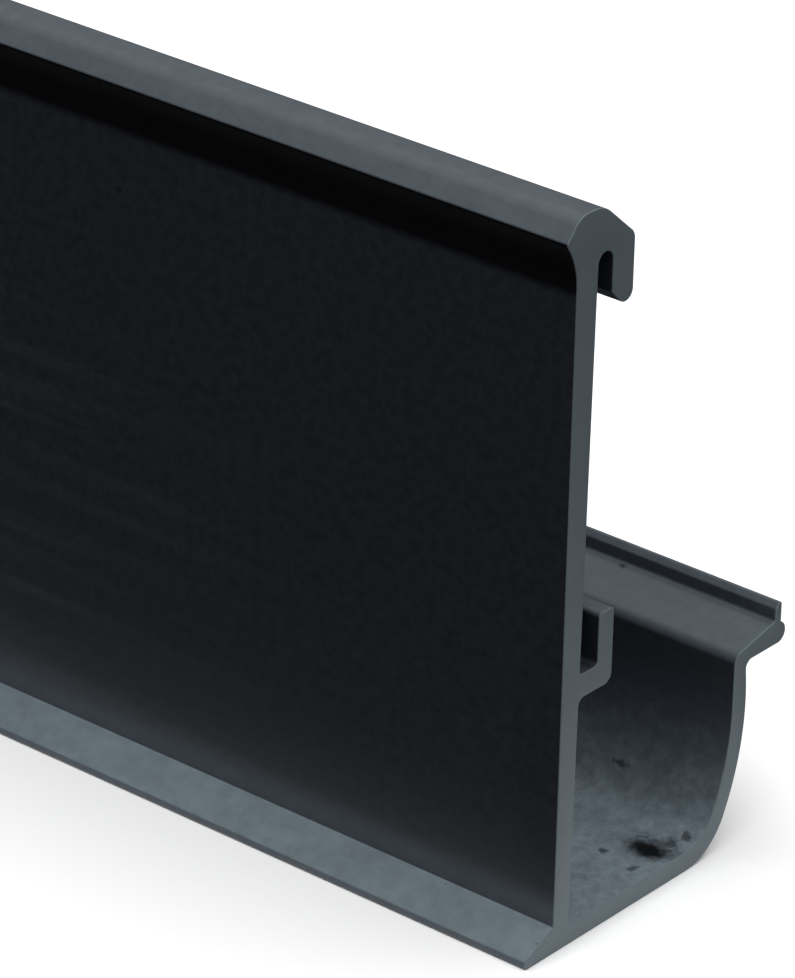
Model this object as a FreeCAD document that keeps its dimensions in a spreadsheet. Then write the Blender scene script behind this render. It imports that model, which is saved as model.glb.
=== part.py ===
"""A short length of extruded trim rail, drawn as one constant section.

The section lies in the Y-Z plane and runs along X. Y = 0 is the flat front face of the upright web,
Z = 0 is the flat underside, and X = 0 is the middle of the length. Behind the web is an open trough with a
flanged rim; in front of it is a sloping foot; on top is a cap that turns down behind the web as a hook.
"""

import FreeCAD
import Part
import Sketcher

import math
import os

# Driving dimensions in millimetres, as the spreadsheet holds them.
DIMENSIONS = {
    # the whole rail
    "rail_length": 150.0,
    "overall_height": 63.5,
    "wall": 1.75,
    # upright web, slightly thicker towards the cap
    "web_base_thickness": 1.9,
    "web_head_thickness": 2.5,
    # sloping foot in front of the web
    "foot_reach": 3.5,
    "foot_rise": 2.4,
    "foot_edge": 0.8,
    # cap: bevelled in front down to a small nose, coved underneath, sloping down behind
    "cap_overhang": 1.35,
    "nose_radius": 0.3,
    "nose_drop": 1.9,
    "bevel_back": 0.2,
    "cove_radius": 6.6,
    "cap_flat": 2.95,
    "cap_front_rounding": 2.0,
    "cap_rear_rounding": 3.0,
    "shoulder_drop": 2.85,
    "shoulder_radius": 1.1,
    # hook lip hanging from the cap, with a sloping lead-in at its toe
    "lip_back": 6.9,
    "lip_thickness": 2.6,
    "lip_bottom": 54.6,
    "lip_toe_radius": 0.9,
    "lip_lead_in": 1.35,
    "slot_top": 59.6,
    # trough: flat floor, rounded heel, then a large arc up to the rim
    "heel_radius": 5.5,
    "barrel_radius": 22.1,
    "barrel_centre_back": 2.25,
    "barrel_centre_up": 12.9,
    # rim flange with a thin raised rib whose top slopes down towards the front
    "rim_underside": 16.5,
    "rim_inner_top": 17.5,
    "rim_outer_top": 18.65,
    "rim_nose_radius": 0.95,
    "rim_tip": 29.3,
    "rib_back": 28.65,
    "rib_thickness": 0.8,
    "rib_top": 20.25,
    "rib_front_top": 19.75,
    "rib_rear_radius": 0.25,
    # upward-opening pocket on the back of the web
    "pocket_underside": 22.0,
    "pocket_floor": 2.1,
    "pocket_inner": 4.35,
    "pocket_outer": 6.2,
    "pocket_top": 28.6,
    "pocket_corner": 0.9,
    # lengthwise roundings
    "root_fillet": 0.7,
    "rim_edge_rounding": 1.1,
    "rib_edge_rounding": 0.3,
    "rib_root_fillet": 0.3,
    "pocket_edge_rounding": 0.4,
    "foot_edge_rounding": 0.3,
}

# Sketch point codes: the sketch's own origin, and the ends and centre of a curve.
ORIGIN = (-1, 1)
START = 1
END = 2
CENTRE = 3

# Height of the centre of the hook slot's round end, where the web's back face runs into it.
HOOK_SLOT_CENTRE_UP = "slot_top - ( lip_back - lip_thickness - web_head_thickness ) / 2"

# First guesses, in degrees, for the turns at which arcs meet slopes: at the hook's toe, at the cap's rear
# corner, at its nose and on the rim's rib.
TOE_TURN = 225.0
SLOPE_TURN = 50.0
BEVEL_TURN = 145.0
RIB_TURN = 130.0

# An edge counts as lengthwise when its direction's X part is at least this.
LENGTHWISE = 0.99


def make_sheet(doc):
    """Put every driving dimension in its own named cell."""
    sheet = doc.addObject("Spreadsheet::Sheet", "Sizes")
    for row, (name, value) in enumerate(DIMENSIONS.items(), start=1):
        sheet.set(f"A{row}", name)
        sheet.set(f"B{row}", str(value))
        sheet.setAlias(f"B{row}", name)
    doc.recompute()
    return sheet


def in_cells(formula):
    """Turn a formula of plain dimension names into one that reads the spreadsheet."""
    words = formula.split()
    return " ".join(f"Sizes.{word}" if word in DIMENSIONS else word for word in words)


class Outline:
    """A closed outline on the section plane, drawn as sides and arcs and held by rules and dimensions.

    Every curve is first drawn close to its place; the rules and the spreadsheet's cells then fix it.
    """

    def __init__(self, body, name):
        self.sketch = body.newObject("Sketcher::SketchObject", name)
        section_plane = next(o for o in body.Origin.OriginFeatures if o.Role == "YZ_Plane")
        self.sketch.AttachmentSupport = [(section_plane, "")]
        self.sketch.MapMode = "FlatFace"

    def line(self, start, end):
        """Add a straight side between two (back, up) points."""
        segment = Part.LineSegment(FreeCAD.Vector(*start, 0), FreeCAD.Vector(*end, 0))
        return self.sketch.addGeometry(segment, False)

    def arc(self, centre, radius, first_angle, last_angle):
        """Add an arc that runs anticlockwise between two angles in degrees."""
        circle = Part.Circle(FreeCAD.Vector(*centre, 0), FreeCAD.Vector(0, 0, 1), radius)
        arc = Part.ArcOfCircle(circle, math.radians(first_angle), math.radians(last_angle))
        return self.sketch.addGeometry(arc, False)

    def rule(self, *parts):
        """Add one geometric rule or dimension and return its number."""
        return self.sketch.addConstraint(Sketcher.Constraint(*parts))

    def join(self, *ends):
        """Make pairs of curve ends meet."""
        for first, second in zip(ends[::2], ends[1::2]):
            self.rule("Coincident", *first, *second)

    def blend(self, *ends):
        """Make pairs of curve ends meet smoothly, as a tangent."""
        for first, second in zip(ends[::2], ends[1::2]):
            self.rule("Tangent", *first, *second)

    def level(self, *sides):
        """Make straight sides horizontal."""
        for side in sides:
            self.rule("Horizontal", side)

    def upright(self, *sides):
        """Make straight sides vertical."""
        for side in sides:
            self.rule("Vertical", side)

    def back(self, point, formula):
        """Hold a point's distance behind the web's front face to a formula."""
        self._hold("DistanceX", self.sketch.getPoint(*point).x, point, formula)

    def up(self, point, formula):
        """Hold a point's height above the underside to a formula."""
        self._hold("DistanceY", self.sketch.getPoint(*point).y, point, formula)

    def radius(self, arc, formula):
        """Hold an arc's radius to a formula."""
        number = self.rule("Radius", arc, self.sketch.Geometry[arc].Radius)
        self.sketch.setExpression(f"Constraints[{number}]", in_cells(formula))

    def _hold(self, kind, value, point, formula):
        number = self.rule(kind, *ORIGIN, *point, value)
        self.sketch.setExpression(f"Constraints[{number}]", in_cells(formula))


def hook_slot_radius(size):
    """Half the width of the slot between the web and the hook lip."""
    return (size["lip_back"] - size["lip_thickness"] - size["web_head_thickness"]) / 2


def draw_web(body, size):
    """Upright web up to the hook slot's round end: flat front face, back face leaning out slightly."""
    top = size["slot_top"] - hook_slot_radius(size)
    outline = Outline(body, "WebOutline")
    floor = outline.line((0, 0), (size["web_base_thickness"], 0))
    rear = outline.line((size["web_base_thickness"], 0), (size["web_head_thickness"], top))
    head = outline.line((size["web_head_thickness"], top), (0, top))
    front = outline.line((0, top), (0, 0))
    outline.join((floor, END), (rear, START), (rear, END), (head, START))
    outline.join((head, END), (front, START), (front, END), (floor, START), (floor, START), ORIGIN)
    outline.level(floor, head)
    outline.upright(front)
    outline.back((floor, END), "web_base_thickness")
    outline.back((head, START), "web_head_thickness")
    outline.up((head, START), HOOK_SLOT_CENTRE_UP)
    return outline.sketch


def draw_foot(body, size):
    """Wedge in front of the web, thin at its tip."""
    reach = size["foot_reach"]
    outline = Outline(body, "FootOutline")
    floor = outline.line((-reach, 0), (0, 0))
    root = outline.line((0, 0), (0, size["foot_rise"]))
    slope = outline.line((0, size["foot_rise"]), (-reach, size["foot_edge"]))
    tip = outline.line((-reach, size["foot_edge"]), (-reach, 0))
    outline.join((floor, END), (root, START), (root, END), (slope, START))
    outline.join((slope, END), (tip, START), (tip, END), (floor, START), (root, START), ORIGIN)
    outline.level(floor)
    outline.upright(root, tip)
    outline.back((tip, END), "0 - foot_reach")
    outline.up((root, END), "foot_rise")
    outline.up((tip, START), "foot_edge")
    return outline.sketch


def draw_cap(body, size):
    """Cap and hook: nose and front bevel, flat top, rear slope, round-toed lip, slot and front cove."""
    height = size["overall_height"]
    nose = size["nose_radius"]
    nose_centre = (nose - size["cap_overhang"], height - size["nose_drop"])
    bevel_end = (
        nose_centre[0] + nose * math.cos(math.radians(BEVEL_TURN)),
        nose_centre[1] + nose * math.sin(math.radians(BEVEL_TURN)),
    )
    cove = size["cove_radius"]
    cove_turn = math.acos((nose_centre[0] + cove) / (cove + nose))
    cove_centre = (-cove, nose_centre[1] - (cove + nose) * math.sin(cove_turn))
    toe = size["lip_toe_radius"]
    toe_centre = (size["lip_back"] - toe, size["lip_bottom"] + toe)
    toe_start = (
        toe_centre[0] + toe * math.cos(math.radians(TOE_TURN)),
        toe_centre[1] + toe * math.sin(math.radians(TOE_TURN)),
    )
    lip_inner = size["lip_back"] - size["lip_thickness"]
    lead_in_top = size["lip_bottom"] + size["lip_lead_in"]
    slot = hook_slot_radius(size)
    slot_centre = (size["web_head_thickness"] + slot, size["slot_top"] - slot)
    shoulder = size["shoulder_radius"]
    shoulder_centre = (size["lip_back"] - shoulder, height - size["shoulder_drop"] - shoulder)
    slope_end = (
        shoulder_centre[0] + shoulder * math.cos(math.radians(SLOPE_TURN)),
        shoulder_centre[1] + shoulder * math.sin(math.radians(SLOPE_TURN)),
    )

    outline = Outline(body, "CapOutline")
    front = outline.arc(nose_centre, nose, BEVEL_TURN, 180 + math.degrees(cove_turn))
    bevel = outline.line(bevel_end, (size["bevel_back"], height))
    top = outline.line((size["bevel_back"], height), (size["cap_flat"], height))
    slope = outline.line((size["cap_flat"], height), slope_end)
    corner = outline.arc(shoulder_centre, shoulder, 0, SLOPE_TURN)
    lip_rear = outline.line((size["lip_back"], shoulder_centre[1]), (size["lip_back"], toe_centre[1]))
    lip_toe = outline.arc(toe_centre, toe, TOE_TURN, 360)
    lead_in = outline.line(toe_start, (lip_inner, lead_in_top))
    lip_front = outline.line((lip_inner, lead_in_top), (lip_inner, slot_centre[1]))
    slot_end = outline.arc(slot_centre, slot, 0, 180)
    inside_web = outline.line((size["web_head_thickness"], slot_centre[1]), (0, cove_centre[1]))
    under = outline.arc(cove_centre, cove, 0, math.degrees(cove_turn))

    outline.blend((bevel, START), (front, START))
    outline.join((bevel, END), (top, START), (top, END), (slope, START))
    outline.blend((slope, END), (corner, END), (corner, START), (lip_rear, START))
    outline.blend((lip_rear, END), (lip_toe, END), (lip_toe, START), (lead_in, START))
    outline.join((lead_in, END), (lip_front, START))
    outline.blend((lip_front, END), (slot_end, START))
    outline.join((slot_end, END), (inside_web, START), (inside_web, END), (under, START))
    outline.blend((under, END), (front, END))
    outline.level(top)
    outline.upright(lip_rear, lip_front)
    outline.rule("Horizontal", slot_end, CENTRE, slot_end, END)
    outline.rule("Horizontal", under, CENTRE, under, START)
    outline.up((top, START), "overall_height")
    outline.back((top, START), "bevel_back")
    outline.back((top, END), "cap_flat")
    outline.radius(front, "nose_radius")
    outline.back((front, CENTRE), "nose_radius - cap_overhang")
    outline.up((front, CENTRE), "overall_height - nose_drop")
    outline.radius(under, "cove_radius")
    outline.back((under, CENTRE), "0 - cove_radius")
    outline.radius(corner, "shoulder_radius")
    outline.up((corner, CENTRE), "overall_height - shoulder_drop - shoulder_radius")
    outline.back((lip_rear, END), "lip_back")
    outline.radius(lip_toe, "lip_toe_radius")
    outline.up((lip_toe, CENTRE), "lip_bottom + lip_toe_radius")
    outline.back((lead_in, END), "lip_back - lip_thickness")
    outline.up((lead_in, END), "lip_bottom + lip_lead_in")
    outline.back((slot_end, END), "web_head_thickness")
    outline.up((slot_end, CENTRE), HOOK_SLOT_CENTRE_UP)
    return outline.sketch


def draw_trough(body, size):
    """Floor, rounded heel and barrel-shaped outer wall, all one wall thick."""
    wall = size["wall"]
    heel = size["heel_radius"]
    barrel = size["barrel_radius"]
    centre = (size["barrel_centre_back"], size["barrel_centre_up"])
    heel_turn = math.asin((centre[1] - heel) / (barrel - heel))
    heel_centre = (centre[0] + (barrel - heel) * math.cos(heel_turn), heel)
    rim = size["rim_underside"] + wall / 2
    rim_turn = math.asin((rim - centre[1]) / barrel)
    rim_outer = (centre[0] + barrel * math.cos(rim_turn), rim)
    inner_face = centre[0] + barrel - wall
    low_angle = 360 - math.degrees(heel_turn)

    outline = Outline(body, "TroughOutline")
    underside = outline.line((0, 0), (heel_centre[0], 0))
    outer_heel = outline.arc(heel_centre, heel, 270, low_angle)
    outer_wall = outline.arc(centre, barrel, low_angle - 360, math.degrees(rim_turn))
    top = outline.line(rim_outer, (inner_face, rim))
    inner_top = outline.line((inner_face, rim), (inner_face, centre[1]))
    inner_wall = outline.arc(centre, barrel - wall, low_angle - 360, 0)
    inner_heel = outline.arc(heel_centre, heel - wall, 270, low_angle)
    floor = outline.line((heel_centre[0], wall), (0, wall))
    inside_web = outline.line((0, wall), (0, 0))

    outline.join((underside, START), ORIGIN)
    outline.blend((underside, END), (outer_heel, START), (outer_heel, END), (outer_wall, START))
    outline.join((outer_wall, END), (top, START), (top, END), (inner_top, START))
    outline.blend((inner_top, END), (inner_wall, END), (inner_wall, START), (inner_heel, END))
    outline.blend((inner_heel, START), (floor, START))
    outline.join((floor, END), (inside_web, START), (inside_web, END), (underside, START))
    outline.rule("Coincident", outer_wall, CENTRE, inner_wall, CENTRE)
    outline.level(underside, top, floor)
    outline.upright(inner_top, inside_web)
    outline.back((outer_wall, CENTRE), "barrel_centre_back")
    outline.up((outer_wall, CENTRE), "barrel_centre_up")
    outline.radius(outer_wall, "barrel_radius")
    outline.radius(outer_heel, "heel_radius")
    outline.radius(inner_wall, "barrel_radius - wall")
    outline.radius(inner_heel, "heel_radius - wall")
    outline.up((floor, START), "wall")
    outline.up((top, START), "rim_underside + wall / 2")
    return outline.sketch


def draw_rim(body, size):
    """Flange along the top of the trough wall: rising top face, rounded tip and thin slope-topped rib."""
    inner_face = size["barrel_centre_back"] + size["barrel_radius"] - size["wall"]
    low = size["rim_underside"]
    tip = size["rim_nose_radius"]
    tip_centre = (size["rim_tip"] - tip, low + tip)
    rear = size["rib_rear_radius"]
    rib_back = size["rib_back"]
    rib_centre = (rib_back - rear, size["rib_top"] - rear)
    slope_start = (
        rib_centre[0] + rear * math.cos(math.radians(RIB_TURN)),
        rib_centre[1] + rear * math.sin(math.radians(RIB_TURN)),
    )
    rib_foot_turn = math.degrees(math.acos((rib_back - tip_centre[0]) / tip))
    rib_foot = (rib_back, tip_centre[1] + tip * math.sin(math.radians(rib_foot_turn)))
    rib_front = rib_back - size["rib_thickness"]

    outline = Outline(body, "RimOutline")
    underside = outline.line((inner_face, low), (tip_centre[0], low))
    nose = outline.arc(tip_centre, tip, 270, 360 + rib_foot_turn)
    rib_rear = outline.line(rib_foot, (rib_back, rib_centre[1]))
    rib_round = outline.arc(rib_centre, rear, 0, RIB_TURN)
    rib_slope = outline.line(slope_start, (rib_front, size["rib_front_top"]))
    rib_face = outline.line((rib_front, size["rib_front_top"]), (rib_front, size["rim_outer_top"]))
    top = outline.line((rib_front, size["rim_outer_top"]), (inner_face, size["rim_inner_top"]))
    inside_wall = outline.line((inner_face, size["rim_inner_top"]), (inner_face, low))

    outline.blend((underside, END), (nose, START))
    outline.join((nose, END), (rib_rear, START))
    outline.blend((rib_rear, END), (rib_round, START), (rib_round, END), (rib_slope, START))
    outline.join((rib_slope, END), (rib_face, START))
    outline.join((rib_face, END), (top, START), (top, END), (inside_wall, START))
    outline.join((inside_wall, END), (underside, START))
    outline.level(underside)
    outline.upright(rib_rear, rib_face, inside_wall)
    outline.back((underside, START), "barrel_centre_back + barrel_radius - wall")
    outline.up((underside, START), "rim_underside")
    outline.radius(nose, "rim_nose_radius")
    outline.back((nose, CENTRE), "rim_tip - rim_nose_radius")
    outline.radius(rib_round, "rib_rear_radius")
    outline.back((rib_rear, START), "rib_back")
    outline.up((rib_round, CENTRE), "rib_top - rib_rear_radius")
    outline.back((rib_face, START), "rib_back - rib_thickness")
    outline.up((rib_face, START), "rib_front_top")
    outline.up((rib_face, END), "rim_outer_top")
    outline.up((top, END), "rim_inner_top")
    return outline.sketch


def draw_pocket(body, size):
    """J-shaped lip on the back of the web that makes a pocket open at the top."""
    low = size["pocket_underside"]
    floor_top = low + size["pocket_floor"]
    corner = size["pocket_corner"]
    inner = size["pocket_inner"]
    outer = size["pocket_outer"]
    buried = size["web_base_thickness"] / 2

    outline = Outline(body, "PocketOutline")
    underside = outline.line((buried, low), (outer - corner, low))
    heel = outline.arc((outer - corner, low + corner), corner, 270, 360)
    rear = outline.line((outer, low + corner), (outer, size["pocket_top"]))
    top = outline.line((outer, size["pocket_top"]), (inner, size["pocket_top"]))
    front = outline.line((inner, size["pocket_top"]), (inner, floor_top))
    floor = outline.line((inner, floor_top), (buried, floor_top))
    inside_web = outline.line((buried, floor_top), (buried, low))

    outline.blend((underside, END), (heel, START), (heel, END), (rear, START))
    outline.join((rear, END), (top, START), (top, END), (front, START), (front, END), (floor, START))
    outline.join((floor, END), (inside_web, START), (inside_web, END), (underside, START))
    outline.level(underside, top, floor)
    outline.upright(rear, front, inside_web)
    outline.back((underside, START), "web_base_thickness / 2")
    outline.up((underside, START), "pocket_underside")
    outline.radius(heel, "pocket_corner")
    outline.back((rear, END), "pocket_outer")
    outline.up((top, END), "pocket_top")
    outline.back((front, START), "pocket_inner")
    outline.up((floor, END), "pocket_underside + pocket_floor")
    return outline.sketch


def extrude(body, sketch, name):
    """Pad an outline to the full length, half to each side of the section plane."""
    pad = body.newObject("PartDesign::Pad", name)
    pad.Profile = sketch
    pad.Midplane = True
    pad.setExpression("Length", "Sizes.rail_length")
    sketch.Visibility = False
    body.Document.recompute()
    return pad


def lengthwise_edge(shape, back, up):
    """Name the edge that runs the whole length through one point of the section."""
    probe = Part.Vertex(FreeCAD.Vector(0, back, up))
    nearest = min(
        (edge.distToShape(probe)[0], number)
        for number, edge in enumerate(shape.Edges, start=1)
        if abs(edge.tangentAt(edge.FirstParameter).x) > LENGTHWISE
    )
    return f"Edge{nearest[1]}"


def round_edges(body, name, points, radius_name):
    """Round the lengthwise edges through the given section points."""
    base = body.Tip
    fillet = body.newObject("PartDesign::Fillet", name)
    fillet.Base = (base, [lengthwise_edge(base.Shape, *point) for point in points])
    fillet.setExpression("Radius", f"Sizes.{radius_name}")
    body.Document.recompute()
    return fillet


def web_back(size, up):
    """Depth of the web's leaning back face at one height."""
    top = size["slot_top"] - hook_slot_radius(size)
    growth = size["web_head_thickness"] - size["web_base_thickness"]
    return size["web_base_thickness"] + growth * up / top


def barrel_back(size, up):
    """Depth of the trough's outer face at one height."""
    rise = up - size["barrel_centre_up"]
    return size["barrel_centre_back"] + math.sqrt(size["barrel_radius"] ** 2 - rise ** 2)


def build_rail(doc, size):
    """Make the rail's single body: six outlines padded together, then the lengthwise roundings."""
    body = doc.addObject("PartDesign::Body", "TrimRail")
    body.Label = "trim_rail"
    features = (
        (draw_web, "Web"),
        (draw_foot, "Foot"),
        (draw_cap, "CapAndHook"),
        (draw_trough, "Trough"),
        (draw_rim, "Rim"),
        (draw_pocket, "Pocket"),
    )
    for draw, name in features:
        extrude(body, draw(body, size), name)

    inner_face = size["barrel_centre_back"] + size["barrel_radius"] - size["wall"]
    rib_front = size["rib_back"] - size["rib_thickness"]
    pocket_low = size["pocket_underside"]
    pocket_floor = pocket_low + size["pocket_floor"]
    roots = [
        (web_back(size, size["wall"]), size["wall"]),
        (web_back(size, pocket_low), pocket_low),
        (barrel_back(size, size["rim_underside"]), size["rim_underside"]),
    ]
    pocket_edges = [
        (size["pocket_outer"], size["pocket_top"]),
        (size["pocket_inner"], size["pocket_top"]),
        (size["pocket_inner"], pocket_floor),
        (web_back(size, pocket_floor), pocket_floor),
    ]
    foot_edges = [(-size["foot_reach"], 0), (-size["foot_reach"], size["foot_edge"])]
    cap_front_edge = (size["bevel_back"], size["overall_height"])
    cap_rear_edge = (size["cap_flat"], size["overall_height"])
    round_edges(body, "CapFrontEdge", [cap_front_edge], "cap_front_rounding")
    round_edges(body, "CapRearEdge", [cap_rear_edge], "cap_rear_rounding")
    round_edges(body, "RootFillets", roots, "root_fillet")
    round_edges(body, "RimInnerEdge", [(inner_face, size["rim_inner_top"])], "rim_edge_rounding")
    round_edges(body, "RibFrontEdge", [(rib_front, size["rib_front_top"])], "rib_edge_rounding")
    round_edges(body, "RibRoot", [(rib_front, size["rim_outer_top"])], "rib_root_fillet")
    round_edges(body, "PocketEdges", pocket_edges, "pocket_edge_rounding")
    round_edges(body, "FootEdges", foot_edges, "foot_edge_rounding")
    return body


def check(doc, parts):
    """Stop if any object failed, or if a part isn't one valid solid."""
    for item in doc.Objects:
        if any(word in item.State for word in ("Invalid", "Error")):
            raise RuntimeError(f"{item.Name} failed: {item.State}")
    for part in parts:
        shape = part.Shape
        if shape.isNull() or not shape.isValid() or len(shape.Solids) != 1:
            raise RuntimeError(f"{part.Label} is not one valid solid")


def main():
    doc = FreeCAD.newDocument("TrimRail")
    make_sheet(doc)
    parts = [build_rail(doc, DIMENSIONS)]
    doc.recompute()
    check(doc, parts)
    os.makedirs("parts", exist_ok=True)
    for part in parts:
        part.Shape.exportStep(f"parts/{part.Label}.step")
        print(part.Label, "volume", round(part.Shape.Volume, 1), "box", part.Shape.BoundBox)


main()
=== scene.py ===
"""Looks of the black vinyl trim rail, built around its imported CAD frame.

Everything is in metres in the part's own frame: X along the rail, Y from the web's front face back towards
the trough, Z up. The visible rail is a finer copy of the CAD section with softened saw-cut ends.
"""

import math

import bmesh
import bpy
from mathutils import Matrix, Vector, geometry


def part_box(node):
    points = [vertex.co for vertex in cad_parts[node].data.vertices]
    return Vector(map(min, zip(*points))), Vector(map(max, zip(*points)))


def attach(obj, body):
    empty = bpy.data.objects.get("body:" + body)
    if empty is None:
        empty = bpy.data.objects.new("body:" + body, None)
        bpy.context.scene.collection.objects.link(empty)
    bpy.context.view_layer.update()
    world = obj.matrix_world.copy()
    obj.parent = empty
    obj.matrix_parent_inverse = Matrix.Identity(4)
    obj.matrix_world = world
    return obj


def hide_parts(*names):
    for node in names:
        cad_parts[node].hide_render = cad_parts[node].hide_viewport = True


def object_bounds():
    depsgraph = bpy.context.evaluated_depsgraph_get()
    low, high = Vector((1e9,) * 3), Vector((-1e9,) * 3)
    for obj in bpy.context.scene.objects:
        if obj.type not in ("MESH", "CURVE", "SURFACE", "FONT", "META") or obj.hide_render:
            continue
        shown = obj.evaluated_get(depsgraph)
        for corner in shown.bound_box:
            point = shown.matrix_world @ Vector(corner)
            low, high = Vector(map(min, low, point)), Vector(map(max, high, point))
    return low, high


MM = 0.001

# Camera: where it aims on the rail, and from which side it looks. Angles are in degrees.
AIM_FROM_NEAR_END = 16.9 * MM
AIM_SHARE_OF_HEIGHT = 0.556
CAMERA_DISTANCE = 445.5 * MM
CAMERA_AZIMUTH = 39.46
CAMERA_ELEVATION = 26.72
CAMERA_ROLL = 1.28
CAMERA_LENS = 211.0
CAMERA_SENSOR = 36.0

# Mesh of the rail: how fine it is, and when two lengths, directions or places count as the same.
CURVE_STEPS = 3
LENGTH_STEPS = 30
END_ROUNDING = 0.10 * MM
END_ROUNDING_STEPS = 4
SHARP_EDGE = math.radians(35)
CORNER_TURN = math.radians(20)
STRAIGHT_TURN = 1e-4
LEAST_MITRE = 0.5
SAME_LENGTH = 0.05
SAME_DIRECTION = 0.5
SAME_PLANE = 0.01 * MM
SAME_POINT_DIGITS = 7
SAME_POINT = 1e-7

# Colours, linear.
VINYL_BLACK = (0.0100, 0.0110, 0.0145, 1)
VINYL_GREY = (0.0185, 0.0200, 0.0255, 1)
VINYL_SHEEN = (0.78, 0.93, 1.0, 1)
# Pale grey of the dust film, which also carries the painted light and painted reflections.
DUST_AND_PAINTED_LIGHT_GREY = (0.130, 0.162, 0.188, 1)
CUT_DARK = (0.092, 0.113, 0.126, 1)
CUT_PALE = (0.108, 0.132, 0.146, 1)
# Black of dirt and specks, also used for the painted shade under the cap.
DIRT_AND_PAINTED_SHADE_BLACK = (0.004, 0.004, 0.005, 1)
FLOOR_WHITE = (0.94, 0.94, 0.94, 1)
FLOOR_SHADE = (0.92, 0.92, 0.92, 1)
WHITE = (1, 1, 1, 1)
BLACK = (0, 0, 0, 1)

# Gloss of the skin and of the saw cut.
SKIN_IOR = 1.53
CUT_IOR = 1.50
FULL_SHEEN = 0.5
# Sheen taken away by dirt and by the painted shade under the cap.
SHEEN_LOST_TO_DIRT_AND_SHADE = 0.88
SKIN_ROUGHNESS = 0.40
MOTTLE_ROUGHNESS = 0.43
TOP_ROUGHNESS = 0.62
DIRT_ROUGHNESS = 0.30
CUT_ROUGHNESS = (0.55, 0.70)
FLOOR_ROUGHNESS = 0.8
FLOOR_SHEEN = 0.1

# Sizes of the surface detail.
DIE_LINE_WIDTH = 0.45 * MM
DIE_LINE_LENGTH = 120 * MM
DIE_LINE_DEPTH = 0.003 * MM
# Painted reflection streaks on the web: their width across and length along the rail.
REFLECTION_STREAK_WIDTH = 2.2 * MM
REFLECTION_STREAK_LENGTH = 70 * MM
GRAIN_SIZE = 0.28 * MM
GRAIN_DEPTH = 0.008 * MM
CLOUD_SIZE = 7 * MM
MOTTLE_SIZE = 0.9 * MM
BLOTCH_SIZE = 1.5 * MM
DUST_AND_LIGHT_PATCH_SIZE = 1.1 * MM
SPECK_SIZE = 0.5 * MM
RAGGED_SIZE = 0.55 * MM
DIRT_DEPTH = 0.02 * MM
CUT_GRAIN_SIZE = 0.16 * MM
CUT_GRAIN_DEPTH = 0.010 * MM
CUT_CLOUD_SIZE = 3 * MM
SAW_MARK_SPACING = 0.42 * MM
SAW_MARK_DEPTH = 0.003 * MM
SAW_MARK_WAVER = 3.0
SAW_CENTRE_IN_FRONT = 90 * MM
SAW_CENTRE_BELOW = 40 * MM
FLOOR_CLOUD_SIZE = 60 * MM

# Ranges that ease from 0 to 1: of a noise's value, and of how far a surface faces along an axis.
MIDDLE_NOISE = (0.3, 0.7)
MOST_NOISE = (0.25, 0.75)
ALL_NOISE = (0.2, 0.8)
HIGH_NOISE = (0.45, 0.75)
RARE_NOISE = (0.76, 0.84)
FACES_UP = (0.05, 0.45)
FACES_FORWARD = (0.4, -0.1)

# Places on the section, in metres back from the web's front face or up from the underside.
WEB_BACK = 2.2 * MM
TROUGH_DEPTH = 15.5 * MM
FOOT_TOP = 2.4 * MM
RIM_TOP = 17.5 * MM
RIB_FRONT = 27.8 * MM
POCKET_INSIDE = 4.3 * MM
POCKET_FLOOR = 24.1 * MM
POCKET_TOP = 28.6 * MM
COVE_BOTTOM = 57.5 * MM

# Strength of the dust film with its painted light, from 0 for bare vinyl to 1 for the pale grey alone, and
# how uneven it is.
# The tops get dust and painted top light, stronger low down; the trough's wall and the rib's front get
# painted light; the web just above the foot gets a painted reflection.
DUST_AND_TOP_LIGHT_ON_FOOT = 0.90
DUST_AND_TOP_LIGHT_ON_RIM = 0.22
PAINTED_LIGHT_ON_WALL = 0.80
PAINTED_LIGHT_AT_RIB = 0.27
PAINTED_REFLECTION_ABOVE_FOOT = 0.29
DUST_AND_LIGHT_CLOUDS = (0.84, 1.0)
DUST_AND_LIGHT_BLOTCHES = (0.80, 1.10)
DUST_AND_LIGHT_PATCHES = (-0.36, 0.16)

# The other marks. Painted reflection streaks come in from the first distance from the near end to the second,
# and from the first height down to the second. The saw cut gets paler in the same way.
REFLECTION_STREAK_STRENGTH = 0.09
REFLECTION_STREAKS_FROM_END = (20 * MM, 55 * MM)
REFLECTION_STREAK_HEIGHT = (42 * MM, 32 * MM)
SPECK_STRENGTH = 0.5
FAINT_SMUDGE_STRENGTH = 0.65
SMUDGE_RAGGEDNESS = 0.4
SMUDGE_EDGE = (0.48, 1.0)
FAINT_SMUDGE_EDGE = (0.90, 1.25)
CUT_PALE_HEIGHT = (25 * MM, 3 * MM)
CUT_PALE_STRENGTH = 0.6
CUT_CLOUD_STRENGTH = 0.35
SAW_MARK_STRENGTH = 0.06

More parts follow.
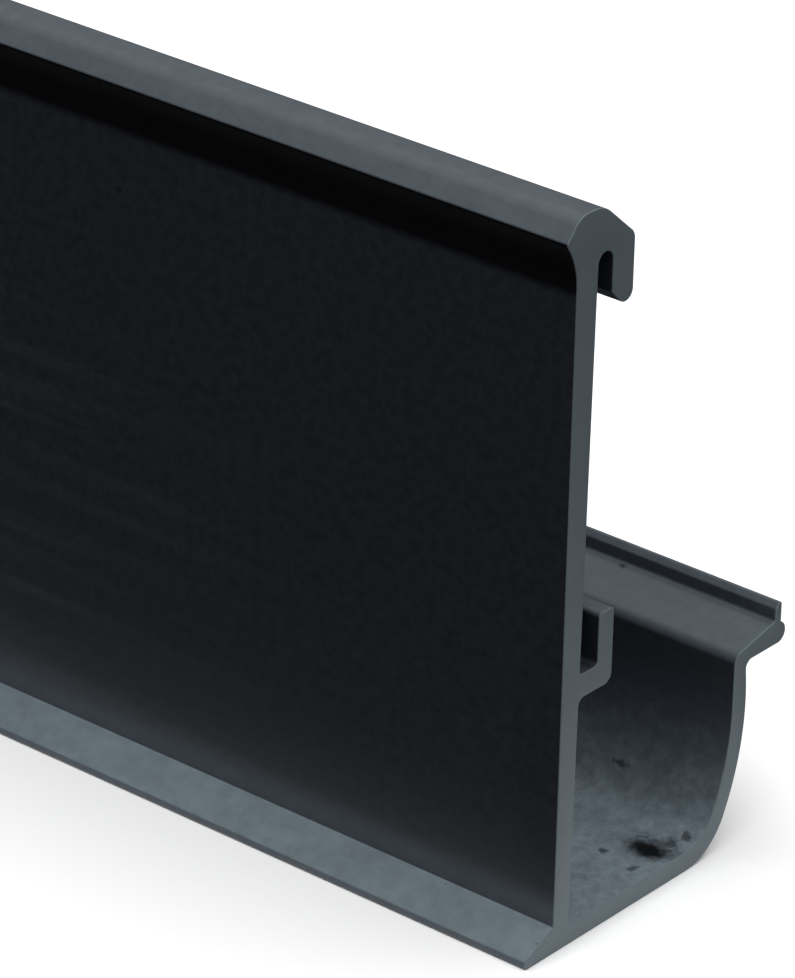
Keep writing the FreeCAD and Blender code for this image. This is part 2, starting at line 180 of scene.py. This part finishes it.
# Dirt: (distance from the near cut end, back, up) of each spot, and its reach along X, Y and Z.
SMUDGES = (
    ((2.6 * MM, 15.5 * MM, 1.75 * MM), (4.3 * MM, 2.7 * MM, 2.0 * MM)),
)
FAINT_SMUDGES = (
    ((2.4 * MM, 16.2 * MM, 1.75 * MM), (4.0 * MM, 3.6 * MM, 3.0 * MM)),
    ((1.7 * MM, 17.2 * MM, 1.75 * MM), (1.1 * MM, 1.9 * MM, 1.5 * MM)),
    ((1.2 * MM, 18.7 * MM, 2.1 * MM), (1.0 * MM, 1.0 * MM, 1.0 * MM)),
    ((9.8 * MM, 20.9 * MM, 4.8 * MM), (1.7 * MM, 0.9 * MM, 0.6 * MM)),
    ((1.7 * MM, 12.3 * MM, 1.75 * MM), (0.9 * MM, 1.4 * MM, 1.0 * MM)),
    ((5.2 * MM, 13.0 * MM, 1.75 * MM), (0.9 * MM, 0.9 * MM, 1.0 * MM)),
    ((15.3 * MM, 27.5 * MM, 18.3 * MM), (0.9 * MM, 0.7 * MM, 0.8 * MM)),
    ((46.2 * MM, 0.0 * MM, 52.0 * MM), (0.7 * MM, 0.7 * MM, 0.7 * MM)),
)

# Studio: the overhead light, the air around it, and the black cards that the glossy faces mirror.
LIGHT_PLACE = Vector((0.0, -0.05, 0.70))
LIGHT_SIZE = 1.1
LIGHT_RADIANCE = 2.3
AIR_STRENGTH = 0.42
FLAG_REACH = 1.5
FLAG_HEIGHT = 0.2 * MM
FRONT_FLAG_GAP = 3 * MM
REAR_FLAG_GAP = 6 * MM
FLOOR_REACH = 3.0


# ---------------------------------------------------------------- mesh of the rail

def end_outline(node, end_x):
    """The section's outline as (back, up) points, anticlockwise, from the CAD node's faces on one cut end."""
    mesh = node.data
    corner = {}
    sides = set()
    for face in mesh.polygons:
        if face.normal.x < SAME_DIRECTION or abs(face.center.x - end_x) > SAME_PLANE:
            continue
        keys = []
        for index in face.vertices:
            point = mesh.vertices[index].co.yz
            key = tuple(round(value, SAME_POINT_DIGITS) for value in point)
            corner[key] = point
            keys.append(key)
        sides.update(zip(keys, keys[1:] + keys[:1]))
    following = {start: end for start, end in sides if (end, start) not in sides}
    first = min(following)
    loop = [first]
    while following[loop[-1]] != first:
        loop.append(following[loop[-1]])
    return [Vector(corner[key]) for key in loop]


def turn_at(before, point, after):
    """Signed turn, in radians, from one side to the next."""
    return -(point - before).angle_signed(after - point)


def arc_between(start, end, turn, steps):
    """Points after start on the arc from start to end whose direction changes by turn from side to side."""
    chord = end - start
    length = chord.length
    across = Vector((chord.y, -chord.x)) / length
    half_turn = turn / 2
    radius = length / (2 * math.sin(half_turn))
    to_chord = radius * math.cos(half_turn)
    points = []
    for step in range(1, steps):
        share = step / steps
        along = length * (share - 0.5)
        to_arc = math.copysign(math.sqrt(radius * radius - along * along), radius)
        points.append(start + chord * share + across * (to_arc - to_chord))
    return points


def finer_outline(points):
    """Add points on the round stretches.

    A side is part of a round stretch when the side next to it is as long and turns only a little.
    """
    count = len(points)
    lengths = [(points[(i + 1) % count] - points[i]).length for i in range(count)]
    turns = [turn_at(points[i - 1], points[i], points[(i + 1) % count]) for i in range(count)]

    def curve_turn(side):
        """Turn per side of the curve that a side belongs to, or zero for a straight side."""
        after = (side + 1) % count
        for joint, neighbour in ((side, side - 1), (after, after)):
            alike = abs(lengths[side] - lengths[neighbour]) < SAME_LENGTH * lengths[side]
            if alike and abs(turns[joint]) < CORNER_TURN:
                return turns[joint]
        return 0.0

    finer = []
    for side in range(count):
        start = points[side]
        end = points[(side + 1) % count]
        finer.append(start)
        turn = curve_turn(side)
        if abs(turn) > STRAIGHT_TURN:
            finer.extend(arc_between(start, end, turn, CURVE_STEPS))
    return finer


def inset_directions(points):
    """At each point, the inward vector that moves both its sides in by one unit, or less at sharp corners."""
    count = len(points)
    directions = []
    for i in range(count):
        before = (points[i] - points[i - 1]).normalized()
        after = (points[(i + 1) % count] - points[i]).normalized()
        middle = (before + after).normalized()
        inward = Vector((-middle.y, middle.x))
        directions.append(inward / max(middle.dot(before), LEAST_MITRE))
    return directions


def length_stations(low_x, high_x):
    """(x, inset) of each ring of points: rounded at both cut ends, even in between."""
    rounding = []
    for step in range(END_ROUNDING_STEPS + 1):
        turn = math.radians(90) * step / END_ROUNDING_STEPS
        rounding.append((END_ROUNDING * (1 - math.sin(turn)), END_ROUNDING * (1 - math.cos(turn))))
    near = [(high_x - depth, inset) for inset, depth in rounding]
    far = [(low_x + depth, inset) for inset, depth in reversed(rounding)]
    start = high_x - END_ROUNDING
    span = (high_x - low_x) - 2 * END_ROUNDING
    middle = [(start - span * step / LENGTH_STEPS, 0.0) for step in range(1, LENGTH_STEPS)]
    return near + middle + far


def triangles_inside(outline):
    """Well-shaped triangles that fill an outline, as numbers of its points, anticlockwise."""
    inside_only = 1
    points, _, faces, sources, _, _ = geometry.delaunay_2d_cdt(
        outline, [], [range(len(outline))], inside_only, SAME_POINT
    )
    return [[sources[i][0] for i in face] for face in faces]


def build_rail(node):
    """The visible rail: the CAD section swept along X in rings, with both cut ends softened and capped."""
    low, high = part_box(node.name)
    outline = finer_outline(end_outline(node, high.x))
    inward = inset_directions(outline)
    count = len(outline)
    mesh = bmesh.new()
    rings = []
    for x, inset in length_stations(low.x, high.x):
        ring = [mesh.verts.new((x, *(point + way * inset))) for point, way in zip(outline, inward)]
        rings.append(ring)
    last_band = len(rings) - 2
    cut_faces = []
    for band, (near, far) in enumerate(zip(rings, rings[1:])):
        for i in range(count):
            j = (i + 1) % count
            face = mesh.faces.new((near[i], far[i], far[j], near[j]))
            face.smooth = True
            if min(band, last_band - band) < END_ROUNDING_STEPS:
                cut_faces.append(face)
    for triangle in triangles_inside([Vector(vertex.co.yz) for vertex in rings[0]]):
        near_face = mesh.faces.new([rings[0][i] for i in triangle])
        far_face = mesh.faces.new([rings[-1][i] for i in reversed(triangle)])
        cut_faces.extend((near_face, far_face))
    for face in cut_faces:
        face.material_index = 1
    mesh.normal_update()
    data = bpy.data.meshes.new("rail_extrusion")
    mesh.to_mesh(data)
    mesh.free()
    rail = bpy.data.objects.new("rail_extrusion", data)
    bpy.context.scene.collection.objects.link(rail)
    data.set_sharp_from_angle(angle=SHARP_EDGE)
    return rail


# ---------------------------------------------------------------- material helpers

class Shader:
    """A material's node tree, with short calls for the nodes used here."""

    # Which sockets the Mix node uses when it mixes colours.
    MIX_SHARE = 0
    MIX_FIRST = 6
    MIX_SECOND = 7
    MIX_RESULT = 2

    def __init__(self, name):
        self.material = bpy.data.materials.new(name)
        self.material.use_nodes = True
        self.tree = self.material.node_tree
        self.tree.nodes.clear()

    def feed(self, socket, value):
        """Give an input its value, or link it to another node's output."""
        if isinstance(value, bpy.types.NodeSocket):
            self.tree.links.new(value, socket)
        else:
            socket.default_value = value

    def node(self, kind, settings=None, **inputs):
        """Add a node. Settings are its properties; inputs are values, or outputs of other nodes."""
        made = self.tree.nodes.new("ShaderNode" + kind)
        for name, value in (settings or {}).items():
            setattr(made, name, value)
        for name, value in inputs.items():
            self.feed(made.inputs[name.replace("_", " ")], value)
        return made

    def math(self, operation, first, second=0.0, clamp=False):
        """One arithmetic step on two numbers or outputs."""
        made = self.node("Math", {"operation": operation, "use_clamp": clamp})
        self.feed(made.inputs[0], first)
        self.feed(made.inputs[1], second)
        return made.outputs[0]

    def product(self, *factors):
        """All the factors multiplied together."""
        total = factors[0]
        for factor in factors[1:]:
            total = self.math("MULTIPLY", total, factor)
        return total

    def strongest(self, *values):
        """The largest of the values."""
        top = values[0]
        for value in values[1:]:
            top = self.math("MAXIMUM", top, value)
        return top

    def vector_math(self, operation, first, second=(0, 0, 0)):
        """One arithmetic step on two vectors or outputs."""
        made = self.node("VectorMath", {"operation": operation})
        self.feed(made.inputs[0], first)
        self.feed(made.inputs[1], second)
        return made.outputs["Value" if operation == "LENGTH" else "Vector"]

    def steps(self, value, low, high, to_low=0.0, to_high=1.0):
        """Ease a value from to_low at low to to_high at high."""
        made = self.node("MapRange", {"interpolation_type": "SMOOTHSTEP"}, Value=value)
        made.inputs["From Min"].default_value = low
        made.inputs["From Max"].default_value = high
        made.inputs["To Min"].default_value = to_low
        made.inputs["To Max"].default_value = to_high
        return made.outputs["Result"]

    def mix(self, share, first, second):
        """Mix two colours."""
        made = self.node("Mix", {"data_type": "RGBA"})
        self.feed(made.inputs[self.MIX_SHARE], share)
        self.feed(made.inputs[self.MIX_FIRST], first)
        self.feed(made.inputs[self.MIX_SECOND], second)
        return made.outputs[self.MIX_RESULT]

    def place(self):
        """Position in the part's frame, in metres."""
        return self.node("TexCoord").outputs["Object"]

    def noise(self, size, detail=3.0, roughness=0.5, along=None, seed=0.0):
        """Noise with features of one size, or stretched to another size along the rail."""
        stretch = size / (along or size)
        scaled = self.node("Mapping", Vector=self.place(), Scale=(stretch, 1, 1), Location=(seed, 0, 0))
        made = self.node(
            "TexNoise",
            Vector=scaled.outputs[0],
            Scale=1 / size,
            Detail=detail,
            Roughness=roughness,
        )
        return made.outputs["Fac"]

    def bump(self, height, depth, below=None):
        """Bump of a 0 to 1 height with its real depth, on top of another bump."""
        made = self.node("Bump", Height=height, Strength=1.0, Distance=depth)
        if below is not None:
            self.tree.links.new(below, made.inputs["Normal"])
        return made.outputs["Normal"]

    def surface(self, shader):
        """Connect the finished shader."""
        output = self.node("OutputMaterial")
        self.tree.links.new(shader, output.inputs["Surface"])
        return self.material


def position(shader, axis):
    """Place along one axis of the part's frame, in metres."""
    return shader.node("SeparateXYZ", Vector=shader.place()).outputs[axis]


def facing(shader, axis):
    """How far the surface faces along one axis, from -1 to 1."""
    return shader.node("SeparateXYZ", Vector=shader.node("NewGeometry").outputs["Normal"]).outputs[axis]


def spot(shader, centre, reach):
    """1 at a centre, falling to 0 at the given distances along X, Y and Z."""
    moved = shader.vector_math("SUBTRACT", shader.place(), centre)
    scaled = shader.vector_math("DIVIDE", moved, reach)
    return shader.math("SUBTRACT", 1.0, shader.vector_math("LENGTH", scaled), clamp=True)


def spots(shader, near_end, table):
    """The strongest of several spots at each place."""
    placed = [((near_end - from_end, back, up), reach) for (from_end, back, up), reach in table]
    return shader.strongest(0.0, *[spot(shader, centre, reach) for centre, reach in placed])


# ---------------------------------------------------------------- materials

def painted_shade_in_pocket(shader):
    """1 between the web and the pocket's lip, where the slot is kept dark as painted shade, and 0 elsewhere.
    """
    back = position(shader, "Y")
    height = position(shader, "Z")
    before_lip = shader.steps(back, POCKET_INSIDE + 0.1 * MM, POCKET_INSIDE)
    below_top = shader.steps(height, POCKET_TOP - 0.6 * MM, POCKET_TOP - 3.5 * MM)
    above_floor = shader.steps(height, POCKET_FLOOR - 2 * MM, POCKET_FLOOR - 1 * MM)
    return shader.product(before_lip, below_top, above_floor)


def dust_and_painted_light_on_tops(shader):
    """Dust film and painted light from above on all that faces up outside the pocket, stronger low down."""
    faces_up = shader.steps(facing(shader, "Z"), *FACES_UP)
    strength = shader.steps(position(shader, "Z"), FOOT_TOP, RIM_TOP, DUST_AND_TOP_LIGHT_ON_FOOT, DUST_AND_TOP_LIGHT_ON_RIM)
    # The pocket's slot gets neither dust nor painted top light: painted shade in the recess.
    outside_pocket_shade = shader.math("SUBTRACT", 1.0, painted_shade_in_pocket(shader))
    return shader.product(faces_up, strength, outside_pocket_shade)


def dust_and_light_unevenness(shader, behind_web):
    """What the dust film and painted light are multiplied by: 1 outside the trough, and a fine mottling about
    1 inside it.
    """
    patches = shader.noise(DUST_AND_LIGHT_PATCH_SIZE, detail=5.0, roughness=0.75, seed=17.0)
    patchy = shader.steps(patches, *MIDDLE_NOISE, *DUST_AND_LIGHT_PATCHES)
    below_rim = shader.steps(position(shader, "Z"), TROUGH_DEPTH, TROUGH_DEPTH - 2 * MM)
    return shader.math("ADD", 1.0, shader.product(patchy, behind_web, below_rim))


def dust_and_painted_light(shader):
    """Dust film and painted light from 0 to 1: dust with painted top light on the tops, painted light up the
    trough's wall, painted light against the rib and a painted reflection just above the foot.
    """
    back = position(shader, "Y")
    height = position(shader, "Z")
    faces_forward = shader.steps(facing(shader, "Y"), *FACES_FORWARD)
    behind_web = shader.steps(back, WEB_BACK * 0.8, WEB_BACK)
    before_web = shader.math("SUBTRACT", 1.0, behind_web)

    # Painted light: the trough's forward-facing wall gets paler towards its floor and stays dark under the
    # rim.
    wall_painted_light = shader.steps(height, TROUGH_DEPTH, 0.0, 0.0, PAINTED_LIGHT_ON_WALL)
    # Painted light on the rib's front face.
    rib_painted_light = shader.steps(back, RIB_FRONT - 1 * MM, RIB_FRONT, 0.0, PAINTED_LIGHT_AT_RIB)
    # Painted reflection of the foot and floor, low on the web's front.
    foot_painted_reflection = shader.steps(height, FOOT_TOP + 3.4 * MM, FOOT_TOP + 0.6 * MM, 0.0, PAINTED_REFLECTION_ABOVE_FOOT)
    # The pale layer here is the dust film together with the painted light and the painted reflection above.
    film = shader.strongest(
        dust_and_painted_light_on_tops(shader),
        shader.product(wall_painted_light, behind_web, faces_forward),
        shader.product(rib_painted_light, faces_forward),
        shader.product(foot_painted_reflection, before_web),
    )
    return shader.product(film, dust_and_light_unevenness(shader, behind_web))


def patchy_dust_and_painted_light(shader):
    """The settled dust and painted light, thinner and thicker in broad clouds and small blotches."""
    clouds = shader.noise(CLOUD_SIZE, detail=5.0, roughness=0.6, seed=7.0)
    blotches = shader.noise(BLOTCH_SIZE, detail=4.0, roughness=0.6, seed=13.0)
    cloudy = shader.steps(clouds, *MOST_NOISE, *DUST_AND_LIGHT_CLOUDS)
    blotchy = shader.steps(blotches, *MOST_NOISE, *DUST_AND_LIGHT_BLOTCHES)
    return shader.product(dust_and_painted_light(shader), cloudy, blotchy)


def dirt_marks(shader, near_end):
    """Dirt from 0 to 1: the dark smudges and the faint ones, all with ragged edges."""
    ragged = shader.noise(RAGGED_SIZE, detail=3.0, roughness=0.6, seed=2.0)
    slightly_ragged = shader.math("MULTIPLY", ragged, SMUDGE_RAGGEDNESS)
    dark = shader.math("ADD", spots(shader, near_end, SMUDGES), slightly_ragged)
    faint = shader.math("ADD", spots(shader, near_end, FAINT_SMUDGES), ragged)
    dark = shader.steps(dark, *SMUDGE_EDGE)
    faint = shader.steps(faint, *FAINT_SMUDGE_EDGE, 0.0, FAINT_SMUDGE_STRENGTH)
    return shader.strongest(dark, faint)


def painted_shade_under_cap(shader):
    """1 in the cove under the cap's nose, which gets painted shade: near black and with little sheen, and 0
    elsewhere.
    """
    high_up = shader.steps(position(shader, "Z"), COVE_BOTTOM - 1 * MM, COVE_BOTTOM)
    in_front = shader.steps(position(shader, "Y"), 0.3 * MM, 0.1 * MM)
    not_on_top = shader.steps(facing(shader, "Z"), 0.3, 0.05)
    return shader.product(high_up, in_front, not_on_top)


def painted_reflection_streaks(shader, near_end):
    """Faint lengthwise painted reflection streaks low on the web, fading out towards the near end."""
    marks = shader.noise(REFLECTION_STREAK_WIDTH, detail=3.0, roughness=0.6, along=REFLECTION_STREAK_LENGTH, seed=3.0)
    marks = shader.steps(marks, *HIGH_NOISE)
    bare_until, rubbed_from = (near_end - distance for distance in REFLECTION_STREAKS_FROM_END)
    far_along = shader.steps(position(shader, "X"), bare_until, rubbed_from)
    low_down = shader.steps(position(shader, "Z"), *REFLECTION_STREAK_HEIGHT)
    return shader.product(marks, far_along, low_down, REFLECTION_STREAK_STRENGTH)


def vinyl_skin(near_end):
    """Satin black vinyl skin: lengthwise die lines, fine grain, painted reflection streaks, settled dust with
    painted light, dirt, and painted shade under the cap.
    """
    shader = Shader("black_vinyl_skin")
    die_lines = shader.noise(DIE_LINE_WIDTH, detail=2.0, along=DIE_LINE_LENGTH)
    grain = shader.noise(GRAIN_SIZE, detail=3.0, roughness=0.6)
    mottle = shader.noise(MOTTLE_SIZE, detail=5.0, roughness=0.7, seed=9.0)
    specks = shader.steps(shader.noise(SPECK_SIZE, detail=1.0, seed=11.0), *RARE_NOISE)
    dirt = dirt_marks(shader, near_end)
    # Dirt, and the painted shade in the cove under the cap, both darken the colour and take away sheen.
    dirt_and_painted_shade = shader.strongest(dirt, painted_shade_under_cap(shader))

    colour = shader.mix(shader.steps(mottle, *MIDDLE_NOISE), VINYL_BLACK, VINYL_GREY)
    # Painted reflection streaks lighten the web low down.
    colour = shader.mix(painted_reflection_streaks(shader, near_end), colour, DUST_AND_PAINTED_LIGHT_GREY)
    # Dust film with painted light on the tops, the trough's wall and the rib, and a painted reflection above
    # the foot.
    colour = shader.mix(patchy_dust_and_painted_light(shader), colour, DUST_AND_PAINTED_LIGHT_GREY)
    colour = shader.mix(shader.product(specks, SPECK_STRENGTH), colour, DIRT_AND_PAINTED_SHADE_BLACK)
    # Dirt, and the painted shade under the cap, turn the skin near black.
    colour = shader.mix(dirt_and_painted_shade, colour, DIRT_AND_PAINTED_SHADE_BLACK)

    sheen_left = shader.math("SUBTRACT", 1.0, shader.product(dirt_and_painted_shade, SHEEN_LOST_TO_DIRT_AND_SHADE))
    mottled = shader.steps(mottle, *ALL_NOISE, SKIN_ROUGHNESS, MOTTLE_ROUGHNESS)
    on_tops = shader.steps(facing(shader, "Z"), *FACES_UP, SKIN_ROUGHNESS, TOP_ROUGHNESS)
    roughness = shader.strongest(mottled, on_tops)
    roughness = shader.math("ADD", roughness, shader.product(dirt, DIRT_ROUGHNESS), clamp=True)

    normal = shader.bump(die_lines, DIE_LINE_DEPTH)
    normal = shader.bump(grain, GRAIN_DEPTH, below=normal)
    normal = shader.bump(dirt, DIRT_DEPTH, below=normal)
    body = shader.node(
        "BsdfPrincipled",
        Base_Color=colour,
        Roughness=roughness,
        IOR=SKIN_IOR,
        Specular_Tint=VINYL_SHEEN,
        Specular_IOR_Level=shader.product(sheen_left, FULL_SHEEN),
        Normal=normal,
    )
    return shader.surface(body.outputs[0])


def saw_marks(shader):
    """Curved marks of the saw's teeth, as wavering rings about a point in front of the rail and below it."""
    from_centre = (0, SAW_CENTRE_IN_FRONT, SAW_CENTRE_BELOW)
    moved = shader.node("Mapping", Vector=shader.place(), Location=from_centre)
    spacing_at_scale_one = math.pi / 10
    marks = shader.node(
        "TexWave",
        {"wave_type": "RINGS", "rings_direction": "X"},
        Vector=moved.outputs[0],
        Scale=spacing_at_scale_one / SAW_MARK_SPACING,
        Distortion=SAW_MARK_WAVER,
        Detail=3.0,
    )
    return marks.outputs["Fac"]


def vinyl_saw_cut():
    """Saw-cut end: the same black vinyl scuffed pale and dull, paler low down, with faint saw marks."""
    shader = Shader("black_vinyl_saw_cut")
    grain = shader.noise(CUT_GRAIN_SIZE, detail=4.0, roughness=0.65)
    cloud = shader.noise(CUT_CLOUD_SIZE, detail=4.0, seed=5.0)
    marks = saw_marks(shader)
    low_down = shader.steps(position(shader, "Z"), *CUT_PALE_HEIGHT, 0.0, CUT_PALE_STRENGTH)
    clouded = shader.steps(cloud, *MIDDLE_NOISE, 0.0, CUT_CLOUD_STRENGTH)
    marked = shader.product(marks, SAW_MARK_STRENGTH)
    worn = shader.math("ADD", shader.math("ADD", low_down, clouded), marked, clamp=True)
    normal = shader.bump(marks, SAW_MARK_DEPTH)
    normal = shader.bump(grain, CUT_GRAIN_DEPTH, below=normal)
    body = shader.node(
        "BsdfPrincipled",
        Base_Color=shader.mix(worn, CUT_DARK, CUT_PALE),
        Roughness=shader.steps(grain, *ALL_NOISE, *CUT_ROUGHNESS),
        IOR=CUT_IOR,
        Specular_Tint=VINYL_SHEEN,
        Normal=normal,
    )
    return shader.surface(body.outputs[0])


def one_sided(shader, front):
    """Finish a material that shows its front from above, and is see-through from below."""
    clear = shader.node("BsdfTransparent")
    behind = shader.node("NewGeometry").outputs["Backfacing"]
    mixed = shader.node("MixShader", Fac=behind)
    shader.tree.links.new(front, mixed.inputs[1])
    shader.tree.links.new(clear.outputs[0], mixed.inputs[2])
    return shader.surface(mixed.outputs[0])


def floor_paint():
    """Plain pale floor with a faint cloudiness, see-through from below so that the underside can be seen."""
    shader = Shader("pale_floor")
    cloud = shader.noise(FLOOR_CLOUD_SIZE, detail=2.0)
    paint = shader.node(
        "BsdfPrincipled",
        Base_Color=shader.mix(cloud, FLOOR_SHADE, FLOOR_WHITE),
        Roughness=FLOOR_ROUGHNESS,
        Specular_IOR_Level=FLOOR_SHEEN,
    )
    return one_sided(shader, paint.outputs[0])


def card_black():
    """A studio card's dead black upper face."""
    shader = Shader("card_black")
    dull = shader.node("Emission", Color=BLACK, Strength=0.0)
    return one_sided(shader, dull.outputs[0])


# ---------------------------------------------------------------- studio

def sheet(name, corners, material):
    """A flat four-cornered stage piece."""
    data = bpy.data.meshes.new(name)
    data.from_pydata(corners, [], [range(len(corners))])
    made = bpy.data.objects.new(name, data)
    bpy.context.scene.collection.objects.link(made)
    data.materials.append(material)
    return made


def level_corners(low_x, high_x, low_y, high_y, up):
    """Corners of a level rectangle, anticlockwise from above."""
    return [(low_x, low_y, up), (high_x, low_y, up), (high_x, high_y, up), (low_x, high_y, up)]


def floor_sheet(low):
    """Large pale floor under the rail."""
    corners = level_corners(-FLOOR_REACH, FLOOR_REACH, -FLOOR_REACH, FLOOR_REACH, low.z)
    return sheet("floor", corners, floor_paint())


def flag(name, low_y, high_y, material):
    """Black card just above the floor that only the rail sees: it keeps the floor's glare off its faces."""
    made = sheet(name, level_corners(-FLAG_REACH, FLAG_REACH, low_y, high_y, FLAG_HEIGHT), material)
    made.visible_camera = False
    made.visible_shadow = False
    made.visible_transmission = False
    return made


def soft_box(name, place, aim, size, radiance):
    """Square soft light aimed at a point, with its brightness given as that of its face."""
    data = bpy.data.lights.new(name, "AREA")
    data.shape = "RECTANGLE"
    data.size = size
    data.size_y = size
    data.energy = radiance * math.pi * size * size
    made = bpy.data.objects.new(name, data)
    made.location = place
    made.rotation_euler = (aim - place).to_track_quat("-Z", "Y").to_euler()
    made.visible_camera = False
    bpy.context.scene.collection.objects.link(made)
    return made


def studio_air(strength):
    """Even white surroundings."""
    world = bpy.data.worlds.new("studio")
    bpy.context.scene.world = world
    world.use_nodes = True
    background = world.node_tree.nodes["Background"]
    background.inputs["Color"].default_value = WHITE
    background.inputs["Strength"].default_value = strength


def camera(low, high):
    """Camera at the viewing angle, aimed at a point on the web's front face near its cut end."""
    aim = Vector((high.x - AIM_FROM_NEAR_END, 0.0, low.z + (high.z - low.z) * AIM_SHARE_OF_HEIGHT))
    azimuth = math.radians(CAMERA_AZIMUTH)
    elevation = math.radians(CAMERA_ELEVATION)
    back = Vector(
        (
            math.sin(azimuth) * math.cos(elevation),
            -math.cos(azimuth) * math.cos(elevation),
            math.sin(elevation),
        )
    )
    data = bpy.data.cameras.new("camera")
    data.lens = CAMERA_LENS
    data.sensor_width = CAMERA_SENSOR
    made = bpy.data.objects.new("camera", data)
    bpy.context.scene.collection.objects.link(made)
    turn = (-back).to_track_quat("-Z", "Y").to_matrix().to_4x4()
    roll = Matrix.Rotation(math.radians(CAMERA_ROLL), 4, "Z")
    made.matrix_world = Matrix.Translation(aim + back * CAMERA_DISTANCE) @ turn @ roll
    bpy.context.scene.camera = made


def plain_colours():
    """Show colours as they are, with no film look."""
    settings = bpy.context.scene.view_settings
    settings.view_transform = "Standard"
    settings.look = "None"
    settings.exposure = 0.0
    settings.gamma = 1.0


# ---------------------------------------------------------------- scene

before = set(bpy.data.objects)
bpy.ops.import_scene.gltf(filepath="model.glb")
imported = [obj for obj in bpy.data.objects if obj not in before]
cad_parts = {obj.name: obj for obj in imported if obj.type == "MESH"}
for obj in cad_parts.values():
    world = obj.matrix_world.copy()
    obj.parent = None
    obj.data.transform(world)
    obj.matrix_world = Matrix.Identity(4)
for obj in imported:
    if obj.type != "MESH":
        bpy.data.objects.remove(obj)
cad_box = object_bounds()
low, high = cad_box

rail = build_rail(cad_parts["trim_rail"])
rail.data.materials.append(vinyl_skin(high.x))
rail.data.materials.append(vinyl_saw_cut())
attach(rail, "root")
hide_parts("trim_rail")

floor_sheet(low)
dead_black = card_black()
flag("front_flag", -FLAG_REACH, low.y - FRONT_FLAG_GAP, dead_black)
flag("rear_flag", high.y + REAR_FLAG_GAP, FLAG_REACH, dead_black)
soft_box("overhead_light", LIGHT_PLACE, (low + high) / 2, LIGHT_SIZE, LIGHT_RADIANCE)
studio_air(AIR_STRENGTH)
camera(low, high)
plain_colours()
